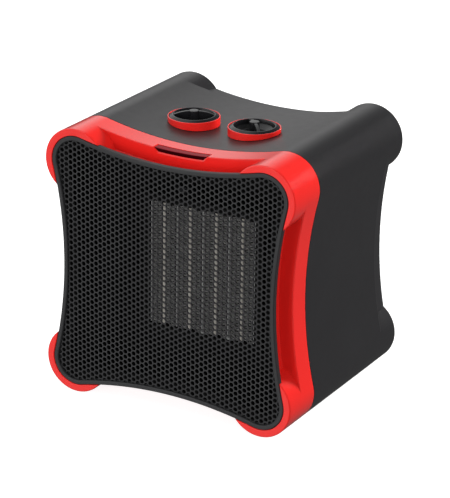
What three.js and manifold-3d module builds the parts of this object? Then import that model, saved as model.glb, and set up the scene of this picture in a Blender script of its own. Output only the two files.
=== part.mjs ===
// A cube-shaped ceramic fan heater, in millimetres, +Z up and the air outlet facing -Y.
// The origin is on the floor, below the middle of the object.
import * as THREE from 'three';
import { mergeVertices } from 'three/addons/utils/BufferGeometryUtils.js';
import Module from 'manifold-3d';

const wasm = await Module();
wasm.setup();

// ---- Driving dimensions ----
const SIZE = 210;            // width and height of the shells, over the corner lobes
const DEPTH = 175;           // front plane to rear plane
const LOBE_RADIUS = 25.75;   // round corner lobes
const SIDE_SAG = 9.5;        // how far the middle of each side curves in
const FOOT_PROUD = 0.4;      // the feet lift the shells this far off the floor
const GAP = 0.3;             // between neighbouring pieces
const WALL = 2.6;            // moulded shell thickness

const BEZEL_DEPTH = 37.8;    // front plane to the joint between bezel and casing
const STEP_DEPTH = 18.5;     // front plane to the face set back between the lobes
const GRILLE_INSET = 5.75;   // shell outline to grille outline
const GRILLE_DEPTH = 4.5;    // how deep the black grille frame is
const GRILLE_RIM = 3.4;      // width of the grille frame's front rim
const MESH_THICK = 1.2;
const MESH_SETBACK = 1.8;    // front plane to the face of the mesh
const DUCT_FACE = 4.8;       // front plane to the front of the outlet duct
const DUCT_BACK = 36;        // front plane to the rear of the outlet duct
const DUCT_INSET = 16;       // shell outline to the inside of the outlet duct
const DUCT_THICK = 2;
const RECESS_INSET = 11.4;   // shell outline to the floor of the hollows between the lobes
const RECESS_WALL = 2.3;
const RIM_DEPTH = 9.4;       // front plane to the rear of the rim that carries the grille frame

const REAR_STEP = 22.2;      // rear plane to the rear set-back face
const REAR_INSET = 6.5;      // shell outline to the rear neck
const COVER_SETBACK = 3.9;   // rear plane to the rear cover's face
const COVER_THICK = 2.6;

const WINDOW_HALF_TOP = 23;      // indicator window, half width along the band's edge
const WINDOW_HALF_BOTTOM = 18.9; // half width along its lower edge
const WINDOW_DROP = 3.2;         // how far the window reaches down the set-back face
const WINDOW_BACK = 25.5;        // front plane to the window's rear edge

const KNOB_X = 25.9;         // knobs stand this far each side of the middle
const KNOB_Y = -4.5;
const KNOB_RADIUS = 18.7;
const COLLAR_TOP = 207.7;    // height of the collars' top edge
const COLLAR_OUTER = 20;
const COLLAR_INNER = 19;
const RIB_WIDTH = 2.8;
const HUB_HEIGHT = 4;        // knob hub, above the collar
const SHAFT_RADIUS = 3;
const BUSH_RADIUS = 4.6;
const WELL_FLOOR = 198.9;    // floor of the round well under each knob
const WELL_THICK = 2.5;
const LEFT_RIB_ANGLE = 29;   // degrees from +X
const RIGHT_RIB_ANGLE = -47.6;

const CORE_Z = 96.4;         // height of the heating core's centre, which is the fan's axis
const CORE_WIDTH = 90;
const CORE_HEIGHT = 98.3;
const CORE_FRONT = -34.3;    // front face of the core
const CORE_DEPTH = 26;
const BAR_PITCH = 22.4;      // ceramic bars, centre to centre
const BAR_COUNT = 4;
const BAR_WIDTH = 2.4;
const PLATE_WIDTH = 1;       // aluminium electrode plates between the fins
const FIN_FOLD = 1.2;        // width of the corrugated sheet's folds, across the column
const FIN_WAVES = 18;

const FAN_RADIUS = 61;
const SHROUD_INNER = 63.5;
const SHROUD_OUTER = 66;
const BLADE_COUNT = 7;
const BLADE_PITCH = 32;      // degrees from the plane the fan turns in
const BLADE_HALF_THICK = 0.9;
const AXLE_RADIUS = 2.5;

const GLAND_X = 62;
const GLAND_Z = 34;
const GLAND_HOLE = 6.6;      // radius of its hole in the rear cover
const SCREW_REACH = 87.7;    // rear screws, across from the middle
const SCREW_RADIUS = 1.6;
const SCREW_LENGTH = 14;
const HEAD_RADIUS = 3.6;
const HEAD_HEIGHT = 2.2;
const BOSS_RADIUS = 5.5;     // screw bosses inside the casing
const BOSS_LENGTH = 27.2;
const PILOT_RADIUS = 2;
const PILOT_LENGTH = 19.2;

const FOOT_Y = [-36, 50];    // front and rear feet
const FOOT_HALF_WIDTH = 4.5;
const FOOT_HALF_LENGTH = 11;
const FOOT_ROUND = 4;
const FOOT_THICK = 1.8;

// ---- Places worked out from them ----
const FRONT = -DEPTH / 2;
const REAR = DEPTH / 2;
const MIDDLE = FOOT_PROUD + SIZE / 2;
const ARM = SIZE / 2 - LOBE_RADIUS;
const RADII_SUM = (ARM ** 2 + SIDE_SAG ** 2) / (2 * SIDE_SAG);
const SIDE_RADIUS = RADII_SUM - LOBE_RADIUS;
const SIDE_CENTRE = ARM + RADII_SUM - SIDE_SAG;
const TANGENT = Math.atan2(ARM, RADII_SUM - SIDE_SAG);
const CORNER_SWEEP = Math.PI / 2 + 2 * TANGENT;
const CORNER_STEPS = 10;
const SIDE_STEPS = 7;
const OVERLAP = 1;           // how far joined or cut solids run into each other

// ---- Materials ----
function material(color, roughness, metalness = 0) {
  return new THREE.MeshStandardMaterial({ color, roughness, metalness });
}
const RED = material(0xd8201c, 0.22);
const BLACK = material(0x26262a, 0.5);
const SATIN = material(0x303034, 0.42);
const GLOSS = material(0x141416, 0.15);
const LENS = material(0x5a0a10, 0.12);
const LAMP = material(0xf0a050, 0.2);
const RUBBER = material(0x161616, 0.9);
const ALUMINIUM = material(0xb8bcc0, 0.35, 0.9);
const CERAMIC = material(0xd8c8a4, 0.6);
const STEEL = material(0xa8aaad, 0.35, 0.9);
const ZINC = material(0xc4c4c0, 0.3, 0.9);
const COPPER = material(0xb06a38, 0.4, 0.6);
const PHENOLIC = material(0x1c1a19, 0.65);
const INSULATION = material(0x8a1414, 0.5);

// ---- Solids ----
function toSolid(geometry) {
  geometry.deleteAttribute('normal');
  geometry.deleteAttribute('uv');
  const merged = mergeVertices(geometry, 1e-4);
  const vertProperties = new Float32Array(merged.attributes.position.array);
  const triVerts = new Uint32Array(merged.index.array);
  return new wasm.Manifold(new wasm.Mesh({ numProp: 3, vertProperties, triVerts }));
}

function toGeometry(solid) {
  const mesh = solid.getMesh();
  const geometry = new THREE.BufferGeometry();
  geometry.setAttribute('position', new THREE.BufferAttribute(mesh.vertProperties, 3));
  geometry.setIndex(new THREE.BufferAttribute(mesh.triVerts, 1));
  return geometry;
}

function join(...solids) {
  return solids.reduce((all, one) => all.add(one));
}

function cut(solid, ...tools) {
  return tools.reduce((left, tool) => left.subtract(tool), solid);
}

// Extrudes [x, z] points from y0 to y1.
function prismY(points, y0, y1) {
  const shape = new THREE.Shape(points.map(([x, z]) => new THREE.Vector2(x, z)));
  const geometry = new THREE.ExtrudeGeometry(shape, { depth: y1 - y0, bevelEnabled: false });
  geometry.rotateX(Math.PI / 2);
  geometry.translate(0, y1, 0);
  return toSolid(geometry);
}

// Extrudes [x, y] points from z0 to z1.
function prismZ(points, z0, z1) {
  const shape = new THREE.Shape(points.map(([x, y]) => new THREE.Vector2(x, y)));
  const geometry = new THREE.ExtrudeGeometry(shape, { depth: z1 - z0, bevelEnabled: false });
  geometry.translate(0, 0, z0);
  return toSolid(geometry);
}

function circle(radius, steps, centre = [0, 0]) {
  return Array.from({ length: steps }, (_, i) => {
    const angle = (i * 2 * Math.PI) / steps;
    return [centre[0] + radius * Math.cos(angle), centre[1] + radius * Math.sin(angle)];
  });
}

function rectangle(halfWidth, halfHeight, centre = [0, 0]) {
  const corners = [[-1, -1], [1, -1], [1, 1], [-1, 1]];
  return corners.map(([sx, sy]) => [centre[0] + sx * halfWidth, centre[1] + sy * halfHeight]);
}

function diskY(radius, y0, y1, centre = [0, 0], steps = 32) {
  return prismY(circle(radius, steps, centre), y0, y1);
}

function diskZ(radius, z0, z1, centre = [0, 0], steps = 32) {
  return prismZ(circle(radius, steps, centre), z0, z1);
}

function blockY(halfWidth, halfHeight, y0, y1, centre = [0, 0]) {
  return prismY(rectangle(halfWidth, halfHeight, centre), y0, y1);
}

// Turns a closed [radius, height] profile about Z.
function turned(profile, steps) {
  const points = profile.map(([r, z]) => new THREE.Vector2(r, z));
  const geometry = new THREE.LatheGeometry(points, steps);
  geometry.rotateX(Math.PI / 2);
  return toSolid(geometry);
}

// The pincushion outline, moved in by inset: four lobe arcs joined by four hollow side arcs.
function outline(inset, lift = MIDDLE) {
  const points = [];
  for (let quarter = 0; quarter < 4; quarter += 1) {
    const turn = (quarter * Math.PI) / 2;
    const put = (x, z) => points.push([
      x * Math.cos(turn) - z * Math.sin(turn),
      x * Math.sin(turn) + z * Math.cos(turn) + lift,
    ]);
    for (let i = 0; i < SIDE_STEPS; i += 1) {
      const angle = Math.PI + TANGENT - (2 * TANGENT * i) / SIDE_STEPS;
      const radius = SIDE_RADIUS + inset;
      put(SIDE_CENTRE + radius * Math.cos(angle), radius * Math.sin(angle));
    }
    for (let i = 0; i < CORNER_STEPS; i += 1) {
      const angle = -TANGENT + (CORNER_SWEEP * i) / CORNER_STEPS;
      const radius = LOBE_RADIUS - inset;
      put(ARM + radius * Math.cos(angle), ARM + radius * Math.sin(angle));
    }
  }
  return points;
}

function shell(inset, y0, y1) {
  return prismY(outline(inset), y0, y1);
}

// The four corner lobes as round columns, with the same facets as the outline's corners.
function lobes(y0, y1, inset = 0) {
  const radius = LOBE_RADIUS - inset;
  const extra = Math.ceil(CORNER_STEPS / 2);     // enough to run inside the neck
  const step = CORNER_SWEEP / CORNER_STEPS;
  const columns = [];
  for (let quarter = 0; quarter < 4; quarter += 1) {
    const turn = (quarter * Math.PI) / 2;
    const points = [];
    for (let i = -extra; i <= CORNER_STEPS + extra; i += 1) {
      const angle = -TANGENT + step * i;
      const x = ARM + radius * Math.cos(angle);
      const z = ARM + radius * Math.sin(angle);
      points.push([
        x * Math.cos(turn) - z * Math.sin(turn),
        x * Math.sin(turn) + z * Math.cos(turn) + MIDDLE,
      ]);
    }
    columns.push(prismY(points, y0, y1));
  }
  return join(...columns);
}

// Height of the top face at x, moved in by inset.
function topHeight(x, inset = 0) {
  return MIDDLE + SIDE_CENTRE - Math.sqrt((SIDE_RADIUS + inset) ** 2 - x ** 2);
}

// ---- Shells ----
// Half width of the window at a depth below the top face; its ends slope inwards.
function windowHalf(inset) {
  return WINDOW_HALF_TOP - ((WINDOW_HALF_TOP - WINDOW_HALF_BOTTOM) * inset) / WINDOW_DROP;
}

// Points along the top face, moved in by inset, from -half to half.
function topLine(half, inset) {
  const steps = 8;
  return Array.from({ length: steps + 1 }, (_, i) => {
    const x = -half + (2 * half * i) / steps;
    return [x, topHeight(x, inset)];
  });
}

function windowCutter() {
  const lower = topLine(WINDOW_HALF_BOTTOM, WINDOW_DROP);
  const edge = [WINDOW_HALF_TOP, topHeight(WINDOW_HALF_TOP)];
  const above = topLine(WINDOW_HALF_TOP, -OVERLAP).reverse();
  const section = [...lower, edge, ...above, [-edge[0], edge[1]]];
  return prismY(section, FRONT + STEP_DEPTH - OVERLAP, FRONT + WINDOW_BACK);
}

function frontBezel() {
  const step = FRONT + STEP_DEPTH;
  const joint = FRONT + BEZEL_DEPTH;
  const inside = FRONT + DUCT_FACE + DUCT_THICK + GAP;
  const bezel = join(
    shell(0, step, joint),
    shell(GRILLE_INSET, FRONT + GRILLE_DEPTH, FRONT + RIM_DEPTH),
    shell(RECESS_INSET, FRONT + RIM_DEPTH - OVERLAP, step + OVERLAP),
    lobes(FRONT, step + OVERLAP),
  );
  return cut(
    bezel,
    shell(GRILLE_INSET + WALL, FRONT - OVERLAP, inside),
    shell(RECESS_INSET + RECESS_WALL, inside - OVERLAP, step + WALL + OVERLAP),
    lobes(inside, step + WALL + OVERLAP, WALL),
    shell(WALL, step + WALL, joint + OVERLAP),
    shell(GRILLE_INSET - GAP / 2, FRONT - OVERLAP, FRONT + GRILLE_DEPTH),
    windowCutter(),
  );
}

function grilleFrame() {
  const outer = GRILLE_INSET + GAP / 2;
  const back = FRONT + GRILLE_DEPTH - GAP;
  return cut(
    shell(outer, FRONT, back),
    shell(outer + GRILLE_RIM, FRONT - OVERLAP, back + OVERLAP),
    shell(outer + GRILLE_RIM / 2, FRONT + MESH_SETBACK - GAP, back + OVERLAP),
  );
}

function frontMesh() {
  const inset = GRILLE_INSET + GAP / 2 + GRILLE_RIM / 2 + GAP;
  const face = FRONT + MESH_SETBACK;
  return shell(inset, face, face + MESH_THICK);
}

// The outlet duct: a flange behind the grille's rim, and a tube from it towards the heating core.
function frontBaffle() {
  const face = FRONT + DUCT_FACE;
  const back = FRONT + DUCT_BACK;
  return cut(
    join(
      shell(GRILLE_INSET + WALL + GAP, face, face + DUCT_THICK),
      shell(DUCT_INSET - DUCT_THICK, face, back),
    ),
    shell(DUCT_INSET, face - OVERLAP, back + OVERLAP),
  );
}

const LENS_END_GAP = 0.48;   // the gap at the window's sloping ends, measured level

function indicatorLens() {
  const low = WINDOW_DROP - GAP;
  const lower = topLine(windowHalf(low) - LENS_END_GAP, low);
  const upper = topLine(windowHalf(GAP) - LENS_END_GAP, GAP).reverse();
  return prismY([...lower, ...upper], FRONT + STEP_DEPTH + 2 * GAP, FRONT + WINDOW_BACK - GAP);
}

const LAMP_RADIUS = 2.5;
const LAMP_LENGTH = 12;
const LAMP_FRONT = FRONT + STEP_DEPTH + 5;
const LAMP_BACK = LAMP_FRONT + LAMP_LENGTH;
const LAMP_Z = topHeight(0) - 8;
const HOLDER_DEPTH = 8;
const HOLDER_HALF = [5, 3.5];

function indicatorLamp() {
  return diskY(LAMP_RADIUS, LAMP_FRONT, LAMP_BACK, [0, LAMP_Z], 16);
}

function lampHolder() {
  return blockY(...HOLDER_HALF, LAMP_BACK + GAP, LAMP_BACK + HOLDER_DEPTH, [0, LAMP_Z]);
}

function mainCasing() {
  const joint = FRONT + BEZEL_DEPTH + GAP;
  const step = REAR - REAR_STEP;
  const outside = join(
    shell(0, joint, step),
    shell(REAR_INSET, step - OVERLAP, REAR),
    lobes(step - OVERLAP, REAR),
  );
  let casing = cut(
    outside,
    shell(WALL, joint - OVERLAP, step - WALL),
    shell(REAR_INSET + WALL, step - WALL - OVERLAP, REAR + OVERLAP),
  );
  for (const side of [-1, 1]) {
    const centre = [side * KNOB_X, KNOB_Y];
    const cup = diskZ(COLLAR_OUTER, WELL_FLOOR - WELL_THICK, COLLAR_TOP, centre, 32);
    casing = cut(
      casing.add(cup.intersect(shell(0, joint, step))),
      diskZ(COLLAR_INNER, WELL_FLOOR, COLLAR_TOP + OVERLAP, centre, 32),
      diskZ(BUSH_RADIUS + GAP, WELL_FLOOR - WELL_THICK - OVERLAP, WELL_FLOOR + OVERLAP, centre),
    );
    for (const level of [-1, 1]) {
      const corner = [side * SCREW_REACH, MIDDLE + level * SCREW_REACH];
      const back = REAR - COVER_SETBACK - COVER_THICK - GAP;
      const boss = diskY(BOSS_RADIUS, back - BOSS_LENGTH, back, corner, 20);
      casing = cut(
        casing.add(boss.intersect(shell(WALL / 2, joint, REAR))),
        diskY(PILOT_RADIUS, back - PILOT_LENGTH, back + OVERLAP, corner, 16),
      );
    }
    for (const y of FOOT_Y) {
      const pocket = footSection(FOOT_HALF_WIDTH + GAP, FOOT_HALF_LENGTH + GAP, [side * ARM, y]);
      casing = casing.subtract(prismZ(pocket, -OVERLAP, FOOT_THICK + GAP));
    }
  }
  return casing;
}

// ---- Feet ----
// A rectangle in plan with round corners.
function footSection(halfWidth, halfLength, centre = [0, 0]) {
  const arcSteps = 4;
  const points = [];
  for (let quarter = 0; quarter < 4; quarter += 1) {
    const sx = quarter === 0 || quarter === 3 ? 1 : -1;
    const sy = quarter < 2 ? 1 : -1;
    for (let i = 0; i <= arcSteps; i += 1) {
      const angle = ((quarter + i / arcSteps) * Math.PI) / 2;
      points.push([
        centre[0] + sx * (halfWidth - FOOT_ROUND) + FOOT_ROUND * Math.cos(angle),
        centre[1] + sy * (halfLength - FOOT_ROUND) + FOOT_ROUND * Math.sin(angle),
      ]);
    }
  }
  return points;
}

function foot() {
  return prismZ(footSection(FOOT_HALF_WIDTH, FOOT_HALF_LENGTH), 0, FOOT_THICK);
}

// ---- Rear cover, its screws and the cord inlet ----
const INTAKE_RADIUS = 60;
const SLOT_PITCH = 8;
const SLOT_HALF = 2;
const SLOT_RIB = 2;
const SCREW_CLEARANCE = 0.6;

function rearCover() {
  const back = REAR - COVER_SETBACK;
  const face = back - COVER_THICK;
  const through = [face - OVERLAP, back + OVERLAP];
  let cover = shell(REAR_INSET + WALL + GAP, face, back);
  const rows = Math.floor(INTAKE_RADIUS / SLOT_PITCH);
  for (let row = -rows; row <= rows; row += 1) {
    const reach = Math.sqrt(INTAKE_RADIUS ** 2 - (row * SLOT_PITCH) ** 2);
    for (const side of [-1, 1]) {
      const halfWidth = (reach - SLOT_RIB) / 2;
      const centre = [side * (SLOT_RIB + halfWidth), CORE_Z + row * SLOT_PITCH];
      cover = cover.subtract(blockY(halfWidth, SLOT_HALF, ...through, centre));
    }
  }
  for (const side of [-1, 1]) {
    for (const level of [-1, 1]) {
      const centre = [side * SCREW_REACH, MIDDLE + level * SCREW_REACH];
      cover = cover.subtract(diskY(SCREW_RADIUS + SCREW_CLEARANCE, ...through, centre, 16));
    }
  }
  return cover.subtract(diskY(GLAND_HOLE, ...through, [GLAND_X, GLAND_Z], 24));
}

// A round-headed screw along Y, its head's underside at the origin.
function screw() {
  return join(
    diskY(HEAD_RADIUS, 0, HEAD_HEIGHT, [0, 0], 16),
    diskY(SCREW_RADIUS, -SCREW_LENGTH, OVERLAP / 2, [0, 0], 12),
  );
}

const FLANGE_RADIUS = 9.5;
const FLANGE_THICK = 3;
const GLAND_LENGTH = 10;
const CORD_HOLE = 3.8;

// A flanged bush with the cord's hole through it, along Y from the cover's face.
function cordGland() {
  return cut(
    join(
      diskY(FLANGE_RADIUS, 0, FLANGE_THICK, [0, 0], 24),
      diskY(GLAND_HOLE - GAP, -GLAND_LENGTH, OVERLAP, [0, 0], 24),
    ),
    diskY(CORD_HOLE, -GLAND_LENGTH - OVERLAP, FLANGE_THICK + OVERLAP, [0, 0], 24),
  );
}

// ---- Knobs and what they turn ----
// A ring that stands on the casing's hollow top.
function collarAt(side) {
  const centre = [side * KNOB_X, KNOB_Y];
  return cut(
    diskZ(COLLAR_OUTER, WELL_FLOOR, COLLAR_TOP, centre, 36),
    diskZ(COLLAR_INNER, WELL_FLOOR - OVERLAP, COLLAR_TOP + OVERLAP, centre, 36),
    shell(-GAP, FRONT, REAR),
  );
}

// The knob about its own axis, with the collar's top edge at height 0 and its rib along X.
function knob() {
  const skirt = -5.5;
  const hub = 3.9;
  const dish = [
    [0, skirt], [KNOB_RADIUS, skirt], [KNOB_RADIUS, -0.3], [KNOB_RADIUS - 2.4, 1.1],
    [KNOB_RADIUS - 3, 1.2], [KNOB_RADIUS - 3.4, 0.6], [14, -2.2], [11.6, -4], [9, -4.7],
    [5.6, -4.6], [hub, -3], [hub, HUB_HEIGHT - 0.5], [hub - 0.6, HUB_HEIGHT], [0, HUB_HEIGHT],
  ];
  const reach = KNOB_RADIUS - 3;
  const ribFloor = -5;
  const ribCrest = [[hub, HUB_HEIGHT - 0.4], [9, 2.9], [12.5, 1.9], [reach, 0.7]];
  const ribSide = [
    [-reach, ribFloor], [reach, ribFloor], ...ribCrest.toReversed(),
    ...ribCrest.map(([along, height]) => [-along, height]),
  ];
  return cut(
    turned(dish, 24).add(prismY(ribSide, -RIB_WIDTH / 2, RIB_WIDTH / 2)),
    diskZ(SHAFT_RADIUS + GAP, skirt - OVERLAP, SHAFT_TOP + GAP, [0, 0], 20),
  );
}

const SHAFT_TOP = -1.3;      // heights from the collar's top edge
const SHAFT_BOTTOM = -15;
const BUSH_TOP = WELL_FLOOR + 2.1 - COLLAR_TOP;
const CONTROL_TOP = WELL_FLOOR - WELL_THICK - GAP - COLLAR_TOP;

function controlShaft() {
  return diskZ(SHAFT_RADIUS, SHAFT_BOTTOM, SHAFT_TOP, [0, 0], 20);
}

// A switch or thermostat body with its threaded bush and the bore for its shaft.
function control(halfWidth, halfLength, height) {
  return cut(
    join(
      prismZ(rectangle(halfWidth, halfLength), CONTROL_TOP - height, CONTROL_TOP),
      diskZ(BUSH_RADIUS, CONTROL_TOP - OVERLAP, BUSH_TOP, [0, 0], 24),
    ),
    diskZ(SHAFT_RADIUS + GAP, SHAFT_BOTTOM - GAP, BUSH_TOP + OVERLAP, [0, 0], 20),
  );
}

function controlNut() {
  const acrossCorners = 7.5;
  const floor = WELL_FLOOR + GAP - COLLAR_TOP;
  const top = floor + 2;
  return cut(
    diskZ(acrossCorners, floor, top, [0, 0], 6),
    diskZ(BUSH_RADIUS + GAP, floor - OVERLAP, top + OVERLAP, [0, 0], 24),
  );
}

// ---- Heating core: ceramic bars between corrugated fins and electrode plates ----
const CORE_BACK = CORE_FRONT + CORE_DEPTH;
const CORE_HALF_HEIGHT = CORE_HEIGHT / 2;
const FIN_WIDTH = (BAR_PITCH - BAR_WIDTH - PLATE_WIDTH) / 2 - 2 * GAP;

function upright(width) {
  return blockY(width / 2, CORE_HALF_HEIGHT, CORE_FRONT, CORE_BACK);
}

// One column of fin: a sheet folded to and fro up the height of the core.
function finColumn() {
  const side = (shift) => Array.from({ length: 2 * FIN_WAVES + 1 }, (_, i) => {
    const x = (i % 2 ? 1 : -1) * (FIN_WIDTH - FIN_FOLD) / 2;
    return [x + shift, -CORE_HALF_HEIGHT + (CORE_HEIGHT * i) / (2 * FIN_WAVES)];
  });
  const right = side(FIN_FOLD / 2);
  const left = side(-FIN_FOLD / 2).reverse();
  return prismY([...right, ...left], CORE_FRONT, CORE_BACK);
}

const CORE_ROOM = 0.4;       // between the core and what holds it
const FRAME_HALF = [52, 56];
const FRAME_LIP = 2;         // how far the frame stands out in front of the core
const BULKHEAD_FACE = 1;
const BULKHEAD_BACK = 3.4;
const BULKHEAD_TOP = 172;
const OPENING_HALF = [CORE_WIDTH / 2 + CORE_ROOM, CORE_HALF_HEIGHT + CORE_ROOM];

function elementFrame() {
  const front = CORE_FRONT - FRAME_LIP;
  const back = BULKHEAD_FACE - GAP;
  return cut(
    blockY(...FRAME_HALF, front, back, [0, CORE_Z]),
    blockY(...OPENING_HALF, front - OVERLAP, back + OVERLAP, [0, CORE_Z]),
  );
}

function bulkhead() {
  const span = [BULKHEAD_FACE - OVERLAP, BULKHEAD_BACK + OVERLAP];
  const above = blockY(SIZE / 2, SIZE / 2, ...span, [0, BULKHEAD_TOP + SIZE / 2]);
  return cut(
    shell(WALL + GAP, BULKHEAD_FACE, BULKHEAD_BACK),
    above,
    blockY(...OPENING_HALF, ...span, [0, CORE_Z]),
  );
}

const CUTOUT_RADIUS = 8;
const CUTOUT_HEIGHT = 6;
const FUSE_RADIUS = 2;
const FUSE_HALF_LENGTH = 6;

function thermalCutout() {
  return diskZ(CUTOUT_RADIUS, 0, CUTOUT_HEIGHT, [0, 0], 24);
}

// A small can lying along X.
function thermalFuse() {
  return diskY(FUSE_RADIUS, -FUSE_HALF_LENGTH, FUSE_HALF_LENGTH, [0, 0], 14).rotate([0, 0, 90]);
}

// ---- Fan and motor, about an axis along Y through the core's centre ----
const SHROUD_FRONT = BULKHEAD_BACK + GAP;
const SHROUD_BACK = 34;
const BRACKET_FACE = SHROUD_BACK + GAP;
const BRACKET_BACK = BRACKET_FACE + 2.5;
const STATOR_FRONT = BRACKET_BACK + 7;
const STATOR_BACK = STATOR_FRONT + 18;
const ROTOR_RADIUS = 13.2;
const ROTOR_GAP = 0.6;
const BEARING_HALF = [25, 5.5];
const BEARING_THICK = 2;

const BRACKET_HUB = 24;
const BRACKET_HOLE = 6;
const BRACKET_RING = 4.5;    // width of the bracket's outer ring
const SPOKE_HALF_WIDTH = 4;
const SPOKE_ANGLES = [30, 150, 270];

function fanShroud() {
  return cut(
    diskY(SHROUD_OUTER, SHROUD_FRONT, SHROUD_BACK, [0, 0], 36),
    diskY(SHROUD_INNER, SHROUD_FRONT - OVERLAP, SHROUD_BACK + OVERLAP, [0, 0], 36),
  );
}

// A ring on the shroud's rear edge, with three spokes to the plate that carries the motor.
function motorBracket() {
  const span = [BRACKET_FACE, BRACKET_BACK];
  const through = [BRACKET_FACE - OVERLAP, BRACKET_BACK + OVERLAP];
  const ring = cut(
    diskY(SHROUD_OUTER, ...span, [0, 0], 36),
    diskY(SHROUD_OUTER - BRACKET_RING, ...through, [0, 0], 36),
  );
  const spokeMiddle = (BRACKET_HUB + SHROUD_INNER) / 2 - OVERLAP;
  const spokeHalf = (SHROUD_INNER - BRACKET_HUB) / 2 + OVERLAP;
  const spokes = SPOKE_ANGLES.map((angle) => {
    const spoke = blockY(spokeHalf, SPOKE_HALF_WIDTH, ...span, [spokeMiddle, 0]);
    return spoke.rotate([0, angle, 0]);
  });
  const hub = diskY(BRACKET_HUB, ...span, [0, 0], 32);
  return join(ring, hub, ...spokes).subtract(diskY(BRACKET_HOLE, ...through, [0, 0], 20));
}

const STATOR_HALF = [28, 33];
const STATOR_DROP = 8;       // the stator's middle, below the axis
const SLOT_HALF_SIZE = [14, 4];
const SLOT_DROP = 22;
const LIMB_HALF_HEIGHT = 7.5;
const LIMB_DROP = SLOT_DROP + SLOT_HALF_SIZE[1] + LIMB_HALF_HEIGHT;

function motorStator() {
  const through = [STATOR_FRONT - OVERLAP, STATOR_BACK + OVERLAP];
  return cut(
    blockY(...STATOR_HALF, STATOR_FRONT, STATOR_BACK, [0, -STATOR_DROP]),
    diskY(ROTOR_RADIUS + ROTOR_GAP, ...through, [0, 0], 32),
    blockY(...SLOT_HALF_SIZE, ...through, [0, -SLOT_DROP]),
  );
}

// The winding goes round the stator's lower limb, through its slot.
function motorCoil() {
  const halfWidth = 12;
  const build = 4;
  const ends = 5;
  const limb = [STATOR_FRONT - GAP, STATOR_BACK + GAP];
  return cut(
    blockY(halfWidth, LIMB_HALF_HEIGHT + build, limb[0] - ends, limb[1] + ends, [0, -LIMB_DROP]),
    blockY(halfWidth + OVERLAP, LIMB_HALF_HEIGHT + GAP, ...limb, [0, -LIMB_DROP]),
  );
}

function bearingPlate(face) {
  return cut(
    blockY(...BEARING_HALF, face, face + BEARING_THICK),
    diskY(AXLE_RADIUS + GAP, face - OVERLAP, face + BEARING_THICK + OVERLAP, [0, 0], 20),
  );
}

const IMPELLER_FRONT = 9;
const IMPELLER_BACK = 29;
const HUB_RADIUS = 17;

const HUB_WALL = 2;
const SLEEVE_WALL = 2.5;     // round the axle, inside the hub
const BLADE_ROOT_HALF = 7;   // half chords
const BLADE_TIP_HALF = 15;

// A cup-shaped hub, with flat blades set at an angle across the air's path.
function fanImpeller() {
  const through = [IMPELLER_FRONT - OVERLAP, IMPELLER_BACK + OVERLAP];
  const hollow = cut(
    diskY(HUB_RADIUS - HUB_WALL, IMPELLER_FRONT + 1.5 * HUB_WALL, through[1], [0, 0], 28),
    diskY(AXLE_RADIUS + SLEEVE_WALL, ...through, [0, 0], 20),
  );
  const hub = cut(
    diskY(HUB_RADIUS, IMPELLER_FRONT, IMPELLER_BACK, [0, 0], 28),
    diskY(AXLE_RADIUS + GAP, ...through, [0, 0], 20),
    hollow,
  );
  const middle = (IMPELLER_FRONT + IMPELLER_BACK) / 2;
  const root = HUB_RADIUS - OVERLAP;
  const plan = [
    [root, -BLADE_ROOT_HALF], [FAN_RADIUS, -BLADE_TIP_HALF],
    [FAN_RADIUS, BLADE_TIP_HALF], [root, BLADE_ROOT_HALF],
  ];
  const blades = Array.from({ length: BLADE_COUNT }, (_, i) => {
    const blade = prismY(plan, -BLADE_HALF_THICK, BLADE_HALF_THICK);
    const pitched = blade.rotate([BLADE_PITCH, 0, 0]).translate([0, middle, 0]);
    return pitched.rotate([0, (360 * i) / BLADE_COUNT, 0]);
  });
  const swept = diskY(FAN_RADIUS, IMPELLER_FRONT, IMPELLER_BACK, [0, 0], 36);
  return hub.add(join(...blades).intersect(swept));
}

function motorShaft() {
  const tail = 4;
  return diskY(AXLE_RADIUS, IMPELLER_FRONT, STATOR_BACK + BEARING_THICK + tail, [0, 0], 16);
}

function motorRotor() {
  const play = 0.5;
  return cut(
    diskY(ROTOR_RADIUS, STATOR_FRONT + play, STATOR_BACK - play, [0, 0], 32),
    diskY(AXLE_RADIUS + GAP, STATOR_FRONT - OVERLAP, STATOR_BACK + OVERLAP, [0, 0], 16),
  );
}

// ---- Leads inside the casing ----
function lead(points, radius) {
  const curve = new THREE.CatmullRomCurve3(points.map((p) => new THREE.Vector3(...p)));
  const shape = new THREE.Shape(circle(radius, 8).map(([x, y]) => new THREE.Vector2(x, y)));
  const geometry = new THREE.ExtrudeGeometry(shape, { steps: 16, extrudePath: curve });
  return toSolid(geometry);
}

// ---- Assembly ----
const heater = new THREE.Group();
const housing = new THREE.Group();
heater.add(housing);

function place(parent, name, solid, look, position = [0, 0, 0], turnZ = 0) {
  const mesh = new THREE.Mesh(toGeometry(solid), look);
  mesh.name = name;
  mesh.position.set(...position);
  mesh.rotation.z = turnZ;
  parent.add(mesh);
}

place(housing, 'front_bezel', frontBezel(), RED);
place(housing, 'grille_frame', grilleFrame(), SATIN);
place(housing, 'front_mesh', frontMesh(), SATIN);
place(housing, 'front_baffle', frontBaffle(), BLACK);
place(housing, 'indicator_lens', indicatorLens(), LENS);
place(housing, 'indicator_lamp', indicatorLamp(), LAMP);
place(housing, 'lamp_holder', lampHolder(), BLACK);
place(housing, 'main_casing', mainCasing(), BLACK);
place(housing, 'rear_cover', rearCover(), BLACK);
place(housing, 'cord_gland', cordGland(), RUBBER, [GLAND_X, REAR - COVER_SETBACK + GAP, GLAND_Z]);

let screwNumber = 0;
for (const level of [1, -1]) {
  for (const side of [-1, 1]) {
    screwNumber += 1;
    const spot = [side * SCREW_REACH, REAR - COVER_SETBACK + GAP, MIDDLE + level * SCREW_REACH];
    place(housing, `rear_screw_${screwNumber}`, screw(), ZINC, spot);
  }
}

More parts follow.
